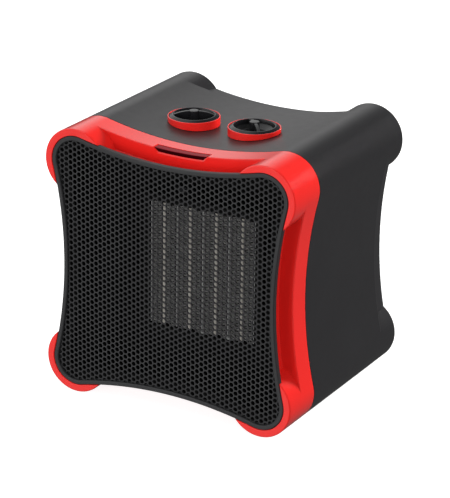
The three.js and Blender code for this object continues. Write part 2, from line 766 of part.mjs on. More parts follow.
for (const [i, y] of FOOT_Y.entries()) {
  for (const side of [-1, 1]) {
    const name = `foot_${i === 0 ? 'front' : 'rear'}_${side < 0 ? 'left' : 'right'}`;
    place(housing, name, foot(), RUBBER, [side * ARM, y, 0]);
  }
}

const controls = [
  {
    side: -1, word: 'left', angle: LEFT_RIB_ANGLE,
    item: 'selector', name: 'selector_switch', size: [13, 13, 16],
  },
  {
    side: 1, word: 'right', angle: RIGHT_RIB_ANGLE,
    item: 'thermostat', name: 'thermostat', size: [15, 11, 12],
  },
];
for (const { side, word, angle, item, name, size } of controls) {
  const axis = [side * KNOB_X, KNOB_Y, COLLAR_TOP];
  place(housing, `knob_collar_${word}`, collarAt(side), RED);
  place(housing, name, control(...size), PHENOLIC, axis);
  place(housing, `${item}_nut`, controlNut(), ZINC, axis);
  const turning = new THREE.Group();
  turning.position.set(...axis);
  heater.add(turning);
  place(turning, `knob_${word}`, knob(), GLOSS, [0, 0, 0], THREE.MathUtils.degToRad(angle));
  place(turning, `${item}_shaft`, controlShaft(), ZINC);
}

const core = new THREE.Group();
core.position.set(0, 0, CORE_Z);
housing.add(core);
for (let i = 0; i < BAR_COUNT; i += 1) {
  const x = (i - (BAR_COUNT - 1) / 2) * BAR_PITCH;
  place(core, `ptc_bar_${i + 1}`, upright(BAR_WIDTH), CERAMIC, [x, 0, 0]);
  for (const side of [-1, 1]) {
    const number = 2 * i + (side < 0 ? 1 : 2);
    const shift = BAR_WIDTH / 2 + GAP + FIN_WIDTH / 2;
    place(core, `fin_${number}`, finColumn(), ALUMINIUM, [x + side * shift, 0, 0]);
  }
}
for (let i = 0; i <= BAR_COUNT; i += 1) {
  const x = (i - BAR_COUNT / 2) * BAR_PITCH;
  place(core, `electrode_plate_${i + 1}`, upright(PLATE_WIDTH), ALUMINIUM, [x, 0, 0]);
}
place(housing, 'element_frame', elementFrame(), PHENOLIC);
place(housing, 'bulkhead', bulkhead(), PHENOLIC);
const frameTop = CORE_Z + FRAME_HALF[1] + GAP;
const coreMiddle = (CORE_FRONT + CORE_BACK) / 2;
place(housing, 'thermal_cutout', thermalCutout(), STEEL, [-22, coreMiddle, frameTop]);
place(housing, 'thermal_fuse', thermalFuse(), ZINC, [14, coreMiddle, frameTop + FUSE_RADIUS]);

const blower = new THREE.Group();
blower.position.set(0, 0, CORE_Z);
heater.add(blower);
place(blower, 'fan_shroud', fanShroud(), PHENOLIC);
place(blower, 'motor_bracket', motorBracket(), STEEL);
place(blower, 'bearing_plate_front', bearingPlate(STATOR_FRONT - GAP - BEARING_THICK), ZINC);
place(blower, 'motor_stator', motorStator(), STEEL);
place(blower, 'motor_coil', motorCoil(), COPPER);
place(blower, 'bearing_plate_rear', bearingPlate(STATOR_BACK + GAP), ZINC);

const spinning = new THREE.Group();
blower.add(spinning);
place(spinning, 'fan_impeller', fanImpeller(), BLACK);
place(spinning, 'motor_shaft', motorShaft(), STEEL);
place(spinning, 'motor_rotor', motorRotor(), STEEL);

const LEAD_RADIUS = 1.8;
const supplyRoute = [
  [GLAND_X, 70, GLAND_Z], [GLAND_X + 4, 60, GLAND_Z + 4], [76, 44, 60], [82, 28, 110],
  [74, 12, 158], [50, 2, 178], [42.6, -4.5, 186],
];
place(housing, 'supply_lead', lead(supplyRoute, LEAD_RADIUS), INSULATION);

export default heater;
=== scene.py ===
"""A cube-shaped ceramic fan heater: red bezel, honeycomb grille, black casing and two knobs.

Everything is in metres, +Z up, with the air outlet facing -Y. Places come from the CAD nodes' boxes.
"""

import math

import bmesh
import bpy
from mathutils import Matrix, Vector


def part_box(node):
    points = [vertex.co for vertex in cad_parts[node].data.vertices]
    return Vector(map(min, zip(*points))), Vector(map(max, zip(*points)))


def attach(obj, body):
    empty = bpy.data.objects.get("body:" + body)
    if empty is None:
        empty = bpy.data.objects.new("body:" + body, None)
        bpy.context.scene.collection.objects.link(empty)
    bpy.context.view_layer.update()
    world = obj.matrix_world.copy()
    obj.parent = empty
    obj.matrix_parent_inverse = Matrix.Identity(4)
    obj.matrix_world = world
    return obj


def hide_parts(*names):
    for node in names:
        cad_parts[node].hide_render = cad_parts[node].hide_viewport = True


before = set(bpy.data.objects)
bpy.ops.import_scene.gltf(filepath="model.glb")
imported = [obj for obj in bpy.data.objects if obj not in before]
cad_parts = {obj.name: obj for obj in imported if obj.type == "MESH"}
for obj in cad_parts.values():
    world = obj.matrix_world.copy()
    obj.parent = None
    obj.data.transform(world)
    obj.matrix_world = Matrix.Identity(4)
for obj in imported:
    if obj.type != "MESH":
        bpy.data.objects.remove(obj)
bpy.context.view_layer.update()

MM = 0.001

# ---- The shells' outline: four round corner lobes joined by hollow sides ----
LOBE_RADIUS = 25.75 * MM
SIDE_SAG = 9.5 * MM
CORNER_STEPS = 36
SIDE_STEPS = 40

CASING_LOW, CASING_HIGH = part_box("main_casing")
BEZEL_LOW, BEZEL_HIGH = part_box("front_bezel")
FRONT = BEZEL_LOW.y
REAR = CASING_HIGH.y
MIDDLE = (CASING_LOW.z + CASING_HIGH.z) / 2
SIZE = CASING_HIGH.z - CASING_LOW.z
ARM = SIZE / 2 - LOBE_RADIUS
RADII_SUM = (ARM ** 2 + SIDE_SAG ** 2) / (2 * SIDE_SAG)
SIDE_RADIUS = RADII_SUM - LOBE_RADIUS
SIDE_CENTRE = ARM + RADII_SUM - SIDE_SAG
TANGENT = math.atan2(ARM, RADII_SUM - SIDE_SAG)
CORNER_SWEEP = math.pi / 2 + 2 * TANGENT

GAP = 0.3 * MM                # between neighbouring pieces
WALL = 2.6 * MM               # moulded shell thickness
STEP_DEPTH = 18.5 * MM        # front plane to the face set back between the lobes
GRILLE_INSET = 5.75 * MM      # shells' outline to the outline of the grille
GRILLE_DEPTH = 4.5 * MM
RECESS_INSET = 12.0 * MM      # shells' outline to the floor of the hollows between the lobes
RECESS_WALL = 1.7 * MM
RIM_SLOPE = 1.5 * MM          # how much the rim behind the grille narrows towards its rear
RIM_INSIDE = 7.1 * MM         # front plane to the inside of that rim
REAR_STEP = 22.2 * MM         # rear plane to the face set back between the rear lobes
REAR_INSET = 6.5 * MM
NECK_RISE = 1.8 * MM          # the rear neck slopes down towards the rear plane
OVERLAP = 1 * MM              # how far cutting tools run past what they cut
JOINT_EDGE = 0.45 * MM        # the shells' rounding where bezel and casing meet
LOBE_CORE = 10 * MM           # lobe's outline to the flat middle of its end
LEDGE = 2 * MM                # how far a pocket's cutter narrows beyond the shell


# ---- Camera ----
CAMERA_ANGLES = (29.23, 20.69, 0.85)  # azimuth, elevation and roll in degrees
CAMERA_TARGET = Vector((0, -4.48 * MM, MIDDLE))
CAMERA_DISTANCE = 1.8968
CAMERA_ASIDE = 2.14 * MM
CAMERA_LENS = 180.2


def add_camera():
    azimuth, elevation, roll = (math.radians(angle) for angle in CAMERA_ANGLES)
    back = Vector((
        math.sin(azimuth) * math.cos(elevation),
        -math.cos(azimuth) * math.cos(elevation),
        math.sin(elevation),
    ))
    level = Vector((math.cos(azimuth), math.sin(azimuth), 0))
    upright = back.cross(level)
    right = level * math.cos(roll) + upright * math.sin(roll)
    up = upright * math.cos(roll) - level * math.sin(roll)
    data = bpy.data.cameras.new("camera")
    data.lens = CAMERA_LENS
    camera = bpy.data.objects.new("camera", data)
    camera.matrix_world = Matrix((right, up, back)).transposed().to_4x4()
    camera.matrix_world.translation = CAMERA_TARGET + back * CAMERA_DISTANCE + right * CAMERA_ASIDE
    bpy.context.scene.collection.objects.link(camera)
    bpy.context.scene.camera = camera


add_camera()


# ---- Materials ----
COAT_ROUGHNESS = 0.06
TONE_SCALE = 22               # noise cells to a metre, for slow changes of tone
GLOSS_SCALE = 160
MIX_AWAY, MIX_TOWARDS, MIX_COLOUR = 6, 7, 2  # a colour Mix node's two inputs and its output


def surface(name, colour, roughness, metallic=0.0, grain=0.35 * MM, depth=0.02, mottle=0.1,
            spread=0.04, coat=0.0, specular=0.5, clear=0.0):
    """A moulded or drawn surface: fine grain in its bump, and slow changes of tone and gloss.

    The grain is a length in metres, and the depth of the bump is in millimetres.
    """
    material = bpy.data.materials.new(name)
    material.use_nodes = True
    nodes = material.node_tree.nodes
    links = material.node_tree.links
    shader = nodes["Principled BSDF"]
    shader.inputs["Metallic"].default_value = metallic
    shader.inputs["Coat Weight"].default_value = coat
    shader.inputs["Coat Roughness"].default_value = COAT_ROUGHNESS
    shader.inputs["Specular IOR Level"].default_value = specular
    shader.inputs["Transmission Weight"].default_value = clear
    place = nodes.new("ShaderNodeTexCoord")

    def noise(scale, detail):
        node = nodes.new("ShaderNodeTexNoise")
        node.inputs["Scale"].default_value = scale
        node.inputs["Detail"].default_value = detail
        links.new(place.outputs["Object"], node.inputs["Vector"])
        return node.outputs["Fac"]

    tone = nodes.new("ShaderNodeMix")
    tone.data_type = "RGBA"
    tone.inputs[MIX_AWAY].default_value = (*(c * (1 - mottle) for c in colour), 1)
    tone.inputs[MIX_TOWARDS].default_value = (*(min(1, c * (1 + mottle)) for c in colour), 1)
    links.new(noise(TONE_SCALE, 3), tone.inputs["Factor"])
    links.new(tone.outputs[MIX_COLOUR], shader.inputs["Base Color"])
    gloss = nodes.new("ShaderNodeMapRange")
    gloss.inputs["To Min"].default_value = max(0, roughness - spread)
    gloss.inputs["To Max"].default_value = roughness + spread
    links.new(noise(GLOSS_SCALE, 4), gloss.inputs["Value"])
    links.new(gloss.outputs["Result"], shader.inputs["Roughness"])
    bump = nodes.new("ShaderNodeBump")
    bump.inputs["Strength"].default_value = 1
    bump.inputs["Distance"].default_value = depth * MM
    links.new(noise(1 / grain, 2), bump.inputs["Height"])
    links.new(bump.outputs["Normal"], shader.inputs["Normal"])
    return material


RED = surface("red gloss plastic", (0.64, 0.015, 0.012), 0.15, grain=1.2 * MM, depth=0.004,
              mottle=0.03, spread=0.03, coat=0.15, specular=0.4)
CASING = surface("black grained plastic", (0.0155, 0.015, 0.016), 0.37, grain=0.45 * MM,
                 depth=0.03, specular=0.38)
SATIN = surface("satin black plastic", (0.022, 0.022, 0.023), 0.42, grain=0.4 * MM, depth=0.012,
                specular=0.3)
MESH = surface("black moulded mesh", (0.017, 0.017, 0.018), 0.42, grain=0.5 * MM, depth=0.01,
               specular=0.35)
GLOSS = surface("black knob plastic", (0.007, 0.007, 0.008), 0.24, grain=1.5 * MM, depth=0.003,
                specular=0.4)
RUBBER = surface("black rubber", (0.015, 0.015, 0.015), 0.75, grain=0.6 * MM, depth=0.04)
CERAMIC = surface("fired ceramic", (0.45, 0.425, 0.385), 0.55, grain=0.5 * MM, depth=0.03)
ALUMINIUM = surface("rolled aluminium", (0.42, 0.42, 0.42), 0.42, 0.5, grain=0.7 * MM, depth=0.015)
STEEL = surface("zinc-plated steel", (0.52, 0.53, 0.54), 0.32, 1, grain=0.9 * MM, depth=0.01)
PHENOLIC = surface("black phenolic", (0.003, 0.003, 0.003), 0.6, grain=0.5 * MM, depth=0.03,
                   specular=0.1)
DULL_STEEL = surface("blued steel", (0.05, 0.05, 0.055), 0.45, 1, grain=0.9 * MM, depth=0.01)
COPPER = surface("lacquered copper", (0.58, 0.24, 0.10), 0.35, 0.8, grain=0.4 * MM, depth=0.03)
BLADE = surface("black fan plastic", (0.018, 0.018, 0.02), 0.4, grain=0.6 * MM, depth=0.01)
LAMP = surface("lamp glass", (0.7, 0.32, 0.12), 0.1, grain=1 * MM, depth=0.002, clear=0.6)
SLEEVE = surface("silicone sleeve", (0.35, 0.012, 0.012), 0.5, grain=0.6 * MM, depth=0.02)


def paint_light_by_facing(material, axis, away, facing):
    """Paints light and shade: mixes two colours by how far a face looks along an axis of the room."""
    nodes = material.node_tree.nodes
    links = material.node_tree.links
    geometry = nodes.new("ShaderNodeNewGeometry")
    along = nodes.new("ShaderNodeVectorMath")
    along.operation = "DOT_PRODUCT"
    along.inputs[1].default_value = axis
    links.new(geometry.outputs["Normal"], along.inputs[0])
    mix = nodes.new("ShaderNodeMix")
    mix.data_type = "RGBA"
    mix.inputs[MIX_AWAY].default_value = (*away, 1)
    mix.inputs[MIX_TOWARDS].default_value = (*facing, 1)
    links.new(along.outputs["Value"], mix.inputs["Factor"])
    links.new(mix.outputs[MIX_COLOUR], nodes["Principled BSDF"].inputs["Base Color"])


# Painted reflection and shade: the lens's base colour is lighter on faces that look up, and darker on
# its front face.
LENS = surface("smoked red lens", (0.2, 0.01, 0.015), 0.18, grain=2 * MM, depth=0.002, specular=0.02)
paint_light_by_facing(LENS, (0, 0, 1), (0.022, 0.001, 0.002), (0.19, 0.011, 0.017))

# Painted light and shade: the fins' cut edges that face the front are painted bright, and the rest of
# their sheet is painted dark.
FIN = surface("aluminium with painted light and shade", (0.3, 0.3, 0.3), 0.45, 0.3, grain=0.7 * MM, depth=0.015)
paint_light_by_facing(FIN, (0, -1, 0), (0.03, 0.03, 0.029), (0.42, 0.415, 0.405))


# ---- Mesh tools ----
def make(name, vertices, faces, weld=0.0):
    """An object from points and faces, with its faces turned to point out."""
    mesh = bpy.data.meshes.new(name)
    mesh.from_pydata(vertices, [], faces)
    work = bmesh.new()
    work.from_mesh(mesh)
    if weld:
        bmesh.ops.remove_doubles(work, verts=work.verts, dist=weld)
    bmesh.ops.recalc_face_normals(work, faces=work.faces)
    work.to_mesh(mesh)
    work.free()
    item = bpy.data.objects.new(name, mesh)
    bpy.context.scene.collection.objects.link(item)
    return item


def loft(name, rings, closed=False):
    """Joins equal rings of points: closed back on itself, or capped at both ends."""
    count = len(rings[0])
    faces = []
    for k in range(len(rings) if closed else len(rings) - 1):
        after = (k + 1) % len(rings)
        for i in range(count):
            j = (i + 1) % count
            faces.append((k * count + i, k * count + j, after * count + j, after * count + i))
    if not closed:
        last = (len(rings) - 1) * count
        faces.append(tuple(reversed(range(count))))
        faces.append(tuple(range(last, last + count)))
    return make(name, [point for ring in rings for point in ring], faces)


def combine(item, operation, tool):
    """Joins, cuts or trims item with tool, and removes tool."""
    modifier = item.modifiers.new(operation, "BOOLEAN")
    modifier.operation = operation
    modifier.solver = "MANIFOLD"
    modifier.object = tool
    bake(item)
    bpy.data.objects.remove(tool)
    return item


def bake(item):
    """Applies the item's modifiers to its mesh."""
    depsgraph = bpy.context.evaluated_depsgraph_get()
    mesh = bpy.data.meshes.new_from_object(item.evaluated_get(depsgraph))
    item.modifiers.clear()
    item.data = mesh


def merged(items, name="tools"):
    """Puts separate solids into one object."""
    vertices, faces = [], []
    for item in items:
        start = len(vertices)
        vertices += [tuple(v.co) for v in item.data.vertices]
        faces += [tuple(start + i for i in face.vertices) for face in item.data.polygons]
        bpy.data.objects.remove(item)
    return make(name, vertices, faces)


def join(item, *others):
    for other in others:
        combine(item, "UNION", other)
    return item


def cut(item, *tools):
    for tool in tools:
        combine(item, "DIFFERENCE", tool)
    return item


def trim(item, tool):
    return combine(item, "INTERSECT", tool)


def soften(item, width, segments=3, angle=40):
    """Rounds the item's sharp edges."""
    modifier = item.modifiers.new("bevel", "BEVEL")
    modifier.width = width
    modifier.segments = segments
    modifier.limit_method = "ANGLE"
    modifier.angle_limit = math.radians(angle)
    bake(item)
    return item


def finish_piece(item, material, body, slot, *nodes, angle=32):
    """Smooth shading, a material, and the body and CAD nodes that the piece belongs to."""
    item.data.materials.clear()
    item.data.materials.append(material)
    for face in item.data.polygons:
        face.material_index = 0
    item.data.shade_smooth()
    item.data.set_sharp_from_angle(angle=math.radians(angle))
    normals = item.modifiers.new("normals", "WEIGHTED_NORMAL")
    normals.keep_sharp = True
    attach(item, body)
    if nodes:
        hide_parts(*nodes)
    return item


# ---- Outlines and profiles ----
QUARTER_TURNS = ((1, 0), (0, 1), (-1, 0), (0, -1))  # cosine and sine of each


def quarters(points):
    """Repeats points in the first quarter of the XZ plane four times round the middle."""
    return [
        (x * cos - z * sin, x * sin + z * cos + MIDDLE)
        for cos, sin in QUARTER_TURNS for x, z in points
    ]


def outline(inset):
    """The shells' outline in the XZ plane, moved in by inset."""
    side, corner = SIDE_RADIUS + inset, LOBE_RADIUS - inset
    points = []
    for i in range(SIDE_STEPS):
        angle = math.pi + TANGENT - 2 * TANGENT * i / SIDE_STEPS
        points.append((SIDE_CENTRE + side * math.cos(angle), side * math.sin(angle)))
    for i in range(CORNER_STEPS):
        angle = -TANGENT + CORNER_SWEEP * i / CORNER_STEPS
        points.append((ARM + corner * math.cos(angle), ARM + corner * math.sin(angle)))
    return quarters(points)


def inset_of(x, z):
    """How far a point lies inside the shells' outline."""
    x, z = abs(x), abs(z - MIDDLE)
    if x < z:
        x, z = z, x
    if math.atan2(z, SIDE_CENTRE - x) <= TANGENT:
        return math.hypot(SIDE_CENTRE - x, z) - SIDE_RADIUS
    return LOBE_RADIUS - math.hypot(x - ARM, z - ARM)


def top_height(x, inset=0.0):
    """The height of the outline's top edge at x, moved in by inset."""
    return MIDDLE + SIDE_CENTRE - math.sqrt((SIDE_RADIUS + inset) ** 2 - x ** 2)


def rounded(corners, steps=5, closed=True):
    """Points along (u, v, radius) corners, each turned into an arc of its radius."""
    points = []
    count = len(corners)
    for i, (u, v, radius) in enumerate(corners):
        at = Vector((u, v))
        if radius == 0 or (not closed and i in (0, count - 1)):
            points.append((u, v))
            continue
        before = (Vector(corners[i - 1][:2]) - at).normalized()
        after = (Vector(corners[(i + 1) % count][:2]) - at).normalized()
        half = before.angle(after) / 2
        centre = at + (before + after).normalized() * (radius / math.sin(half))
        start = at + before * (radius / math.tan(half)) - centre
        end = at + after * (radius / math.tan(half)) - centre
        first = math.atan2(start.y, start.x)
        sweep = (math.atan2(end.y, end.x) - first + math.pi) % (2 * math.pi) - math.pi
        for k in range(steps + 1):
            angle = first + sweep * k / steps
            points.append((centre.x + radius * math.cos(angle), centre.y + radius * math.sin(angle)))
    return points


def swept(name, corners, steps=5):
    """A closed (inset, y, radius) profile swept round the outline: a hollow shell."""
    profile = rounded(corners, steps)
    return loft(name, [[(x, y, z) for x, z in outline(inset)] for inset, y in profile], closed=True)


def plug(name, corners, steps=5):
    """A solid with the outline's section, from an open (inset, y, radius) profile."""
    profile = rounded(corners, steps, closed=False)
    return loft(name, [[(x, y, z) for x, z in outline(inset)] for inset, y in profile])


def turned(name, corners, centre, axis="Z", closed=False, steps=72, arc_steps=5):
    """A (radius, height, fillet) profile turned about Z, or about Y."""
    profile = rounded(corners, arc_steps, closed)
    rings = []
    for radius, height in profile:
        ring = []
        for i in range(steps):
            angle = 2 * math.pi * i / steps
            across, along = radius * math.cos(angle), radius * math.sin(angle)
            local = (across, along, height) if axis == "Z" else (across, height, along)
            ring.append(tuple(Vector(centre) + Vector(local)))
        rings.append(ring)
    return loft(name, rings, closed)


def disk(radius, y0, y1, x=0.0, z=0.0, steps=48):
    """A round cutting tool along Y."""
    return turned("disk", [(radius, y0, 0), (radius, y1, 0)], (x, 0, z), axis="Y", steps=steps)


def slab(name, low, high):
    """A block from its lowest to its highest corner, as a base to be rounded or cut."""
    corners = [(low[0], low[2]), (high[0], low[2]), (high[0], high[2]), (low[0], high[2])]
    return loft(name, [[(x, y, z) for x, z in corners] for y in (low[1], high[1])])


def prism(name, points, y0, y1):
    """[x, z] points extruded from y0 to y1."""
    return loft(name, [[(x, y, z) for x, z in points] for y in (y0, y1)])


def lobe_columns(profile_corners):
    """The four corner lobes as round columns, from an open (inset, y, fillet) profile."""
    extra = CORNER_STEPS // 2
    profile = rounded(profile_corners, 5, closed=False)
    angles = [
        -TANGENT + CORNER_SWEEP * i / CORNER_STEPS for i in range(-extra, CORNER_STEPS + extra + 1)
    ]
    columns = []
    for cos, sin in QUARTER_TURNS:
        rings = []
        for inset, y in profile:
            radius = LOBE_RADIUS - inset
            ring = [(ARM + radius * math.cos(angle), ARM + radius * math.sin(angle)) for angle in angles]
            rings.append([(x * cos - z * sin, y, x * sin + z * cos + MIDDLE) for x, z in ring])
        columns.append(loft("lobe", rings))
    return columns


# ---- Red front bezel ----
WINDOW_HALF_TOP = 23 * MM
WINDOW_HALF_BOTTOM = 18.9 * MM
WINDOW_DROP = 3.2 * MM
WINDOW_BACK = 25.5 * MM
WINDOW_TAPER = 1.6            # how far its slanted ends move in for each unit that it shrinks
LIP_FLARE = 1.7 * MM
BEZEL_EDGE = 0.7 * MM
STEP = FRONT + STEP_DEPTH


def top_line(half, inset, steps=16):
    """Points along the outline's top edge from -half to half."""
    xs = [-half + 2 * half * i / steps for i in range(steps + 1)]
    return [(x, top_height(x, inset)) for x in xs]


def window_section(shrink, above):
    """The window's outline in the XZ plane: narrower at its lower edge."""
    slope = (WINDOW_HALF_TOP - WINDOW_HALF_BOTTOM) / WINDOW_DROP
    low = WINDOW_DROP - shrink
    lower = top_line(WINDOW_HALF_TOP - slope * low - WINDOW_TAPER * shrink, low)
    if above:
        edge = (WINDOW_HALF_TOP, top_height(WINDOW_HALF_TOP))
        upper = top_line(WINDOW_HALF_TOP, -OVERLAP)
        return [*lower, edge, *reversed(upper), (-edge[0], edge[1])]
    upper = top_line(WINDOW_HALF_TOP - slope * shrink - WINDOW_TAPER * shrink, shrink)
    return [*lower, *reversed(upper)]


def build_bezel():
    """A shell with four lobes, hollows between them, and a rim that carries the grille frame."""
    joint = BEZEL_HIGH.y
    neck_front = FRONT + GRILLE_DEPTH
    inside = FRONT + RIM_INSIDE
    neck = GRILLE_INSET + WALL
    recess = RECESS_INSET + RECESS_WALL
    inner_wall = [(neck, inside, 0), (recess, inside + GAP, 0), (recess, STEP + WALL, 0)]
    shell = swept("bezel_shell", [
        (0, joint, JOINT_EDGE), (0, STEP, BEZEL_EDGE), (RECESS_INSET, STEP, 0.4 * MM),
        (RECESS_INSET, inside + WALL, 1 * MM), (GRILLE_INSET + RIM_SLOPE, inside, 0.4 * MM),
        (GRILLE_INSET + GAP, neck_front, 0), (neck, neck_front, 0),
        *inner_wall, (WALL, STEP + WALL, 0), (WALL, joint, 0),
    ])
    lobe = [(0, STEP + WALL / 2, 0), (0, FRONT, 1.0 * MM), (LOBE_CORE, FRONT, 0)]
    join(shell, *lobe_columns(lobe))
    pocket = GRILLE_INSET - GAP / 2
    bore = [(WALL + GAP, inside + 1 * MM, 0), (WALL + GAP, STEP + 2 * WALL, 0)]
    cut(
        shell,
        plug("pocket", [
            (pocket, neck_front, 0), (pocket, FRONT, BEZEL_EDGE), (pocket - LEDGE, FRONT, 0),
            (pocket - LEDGE, FRONT - OVERLAP, 0),
        ]),
        plug("inside", [(neck, FRONT, 0), *inner_wall]),
        *lobe_columns(bore),
        prism("window", window_section(0, True), STEP - OVERLAP, FRONT + WINDOW_BACK),
        loft("lip", [
            [(x, y, z) for x, z in window_section(grow, True)]
            for y, grow in ((STEP - 0.5 * MM, -LIP_FLARE), (STEP + 0.7 * MM, 0))
        ]),
    )
    finish_piece(shell, RED, "housing", "red_plastic", "front_bezel")


def build_window():
    """The smoked lens in the bezel's top edge."""
    low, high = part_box("indicator_lens")
    lens = prism("window_lens", window_section(GAP, False), low.y, high.y)
    soften(lens, 0.35 * MM)
    finish_piece(lens, LENS, "housing", "smoked_lens", "indicator_lens")


# ---- Grille: frame, honeycomb and the duct behind it ----
CELL = 4.22 * MM              # honeycomb pitch, up and down
HOLE = 3.12 * MM              # across each hole
HOLE_CORNER = 0.55            # 0 for round holes, 1 for sharp hexagons
HOLE_EDGE = 0.22 * MM         # rounding of each hole's rim
CELL_SIDE_STEPS = 3
CELL_WELD = 0.01 * MM
FRAME_WIDTH = 3.4 * MM
FRAME_LIP = 0.5 * MM          # how far the frame reaches in behind the mesh
MESH_SEAT = 1.7 * MM          # how far the frame is hollowed for the mesh's edge
FRAME_EDGE = 0.9 * MM
DUCT_THICK = 2 * MM
DUCT_INSET = 16 * MM          # shells' outline to the inside of the outlet duct


def build_grille_frame():
    """A rounded frame whose inner side is hollowed for the mesh's edge."""
    low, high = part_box("grille_frame")
    mesh_front = low.y + 1.5 * MM
    mesh_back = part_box("front_mesh")[1].y + GAP / 2
    outer = GRILLE_INSET + GAP / 2
    inner = outer + FRAME_WIDTH
    seat = inner - MESH_SEAT
    lip = inner + FRAME_LIP
    frame_piece = swept("grille_rim", [
        (outer, high.y, 0.3 * MM), (outer, low.y, FRAME_EDGE), (inner, low.y, FRAME_EDGE),
        (inner, mesh_front, 0), (seat, mesh_front, 0), (seat, mesh_back, 0),
        (lip, mesh_back, 0), (lip, high.y, 0),
    ])
    finish_piece(frame_piece, SATIN, "housing", "satin_black", "grille_frame")


def cell_rings(face, back):
    """A honeycomb cell's rings of points about its centre: border, hole edge, wall and back."""
    side = CELL / math.sqrt(3)
    corners = [Vector((math.cos(k * math.pi / 3), math.sin(k * math.pi / 3))) * side for k in range(7)]
    border = [
        corners[k].lerp(corners[k + 1], i / CELL_SIDE_STEPS)
        for k in range(6) for i in range(CELL_SIDE_STEPS)
    ]

    def hole(radius, y):
        ring = []
        for point in border:
            angle = math.atan2(point.y, point.x)
            off_flat = angle % (math.pi / 3) - math.pi / 6
            reach = radius * (1 - HOLE_CORNER + HOLE_CORNER / math.cos(off_flat))
            ring.append((reach * math.cos(angle), y, reach * math.sin(angle)))
        return ring

    return [
        [(p.x, face, p.y) for p in border],
        hole(HOLE / 2 + HOLE_EDGE, face),
        hole(HOLE / 2 + 0.3 * HOLE_EDGE, face + 0.3 * HOLE_EDGE),
        hole(HOLE / 2, face + HOLE_EDGE),
        hole(HOLE / 2 + HOLE_EDGE / 2, back),
        [(p.x, back, p.y) for p in border],
    ]


def cell_neighbours(column, row):
    """The cells across a cell's six sides, anticlockwise from its upper right."""
    up = row + column % 2
    down = up - 1
    return [
        (column + 1, up), (column, row + 1), (column - 1, up),
        (column - 1, down), (column, row - 1), (column + 1, down),
    ]


def cell_centres(half_width, least_inset):
    """The centres of the cells that reach inside the border, by column and row."""
    column_pitch = CELL * math.sqrt(3) / 2
    columns = math.ceil(half_width / column_pitch) + 1
    rows = math.ceil(half_width / CELL) + 1
    centres = {}
    for column in range(-columns, columns + 1):
        for row in range(-rows, rows + 1):
            x, z = column * column_pitch, MIDDLE + (row + column % 2 / 2) * CELL
            if inset_of(x, z) > least_inset:
                centres[column, row] = (x, z)
    return centres


def build_honeycomb():
    """Pierced cells side by side, trimmed to the outline."""
    low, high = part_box("front_mesh")
    rings = cell_rings(low.y, high.y)
    count = len(rings[0])
    edge_inset = SIZE / 2 - high.x
    centres = cell_centres(high.x, edge_inset - CELL)
    vertices, faces = [], []
    for (column, row), (x, z) in centres.items():
        start = len(vertices)
        for ring in rings:
            vertices += [(x + dx, y, z + dz) for dx, y, dz in ring]
        for k in range(len(rings) - 1):
            for i in range(count):
                a, b = start + k * count, start + (k + 1) * count
                j = (i + 1) % count
                faces.append((a + i, a + j, b + j, b + i))
        for side, neighbour in enumerate(cell_neighbours(column, row)):
            if neighbour in centres:
                continue
            for i in range(side * CELL_SIDE_STEPS, (side + 1) * CELL_SIDE_STEPS):
                j = (i + 1) % count
                back = start + (len(rings) - 1) * count
                faces.append((start + i, start + j, back + j, back + i))
    plate = make("honeycomb", vertices, faces, weld=CELL_WELD)
    trim(plate, plug("border", [(edge_inset, low.y - OVERLAP, 0), (edge_inset, high.y + OVERLAP, 0)]))
    finish_piece(plate, MESH, "housing", "black_mesh", "front_mesh", angle=50)


def build_duct():
    """A flange behind the grille's rim and a tube from it towards the heating core."""
    low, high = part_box("front_baffle")
    outer = SIZE / 2 - high.x
    tube = DUCT_INSET - DUCT_THICK
    duct = swept("outlet_duct", [
        (outer, low.y + DUCT_THICK, 0), (outer, low.y, 0), (DUCT_INSET, low.y, 0.8 * MM),
        (DUCT_INSET, high.y, 0.5 * MM), (tube, high.y, 0.5 * MM), (tube, low.y + DUCT_THICK, 0),
    ])
    finish_piece(duct, PHENOLIC, "housing", "black_casing", "front_baffle")


# ---- Black casing ----
FEET = ("foot_front_left", "foot_front_right", "foot_rear_left", "foot_rear_right")
FOOT_ROUND = 4 * MM
FOOT_GROOVES = (-5 * MM, 0, 5 * MM)
GROOVE_HALF = 0.5 * MM
GROOVE_DEPTH = 0.35 * MM
WELL_FLOOR = 198.9 * MM       # underside of the collars and floor of the wells round the knobs
COLLAR_OUTER = 20 * MM
COLLAR_INNER = 19 * MM
BUSH_HOLE = 4.9 * MM


def knob_axis(word):
    """The axis of a knob in plan, and the height of its collar's top edge."""
    low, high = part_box(f"knob_collar_{word}")
    return (low.x + high.x) / 2, (low.y + high.y) / 2, high.z


def foot_outline(low, high, grow=0.0):
    """A foot's outline in the XY plane: a rectangle with round corners."""
    rectangle = [(low.x, low.y), (high.x, low.y), (high.x, high.y), (low.x, high.y)]
    middle = (low + high) / 2
    grown = [
        (x + math.copysign(grow, x - middle.x), y + math.copysign(grow, y - middle.y), FOOT_ROUND)
        for x, y in rectangle
    ]
    return rounded(grown, 8)


